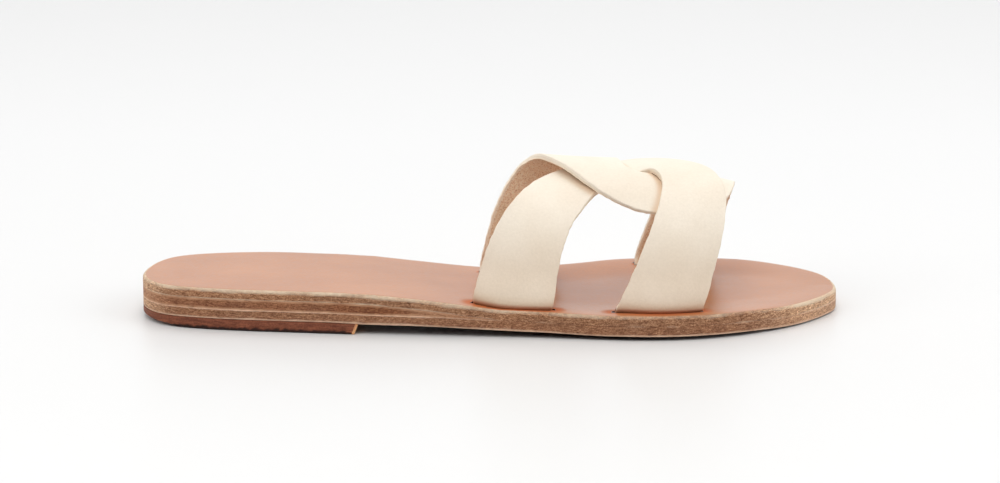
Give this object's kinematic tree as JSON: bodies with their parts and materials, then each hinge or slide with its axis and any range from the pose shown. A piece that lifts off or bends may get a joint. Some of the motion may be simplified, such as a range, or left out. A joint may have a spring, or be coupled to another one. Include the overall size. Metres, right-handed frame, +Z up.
{
  "type": "greek sandal",
  "caption": "Flat slip-on leather sandal for the right foot: wide leather bands hooked through each other over the instep and tucked into slots in a layered leather sole with a rubber heel pad.",
  "frame": {"origin": "middle of the sandal's box, on the floor", "axes": "+X to the toe, +Y to the medial side, +Z up"},
  "size_m": [0.2522, 0.0893, 0.0579],
  "materials": {
    "tan_leather": "smooth vegetable-tanned leather, satin",
    "edge_leather": "stained raw-cut sole leather edge, matte",
    "brown_rubber": "reddish brown sheet rubber, matte",
    "cream_leather": "cream grain side, brown suede underside, soft sheen"
  },
  "bodies": {
    "root": {"insole": "tan_leather", "heel_wedge": "edge_leather", "outsole": "edge_leather", "heel_pad": "brown_rubber", "upper": "cream_leather"}
  },
  "joints": []
}
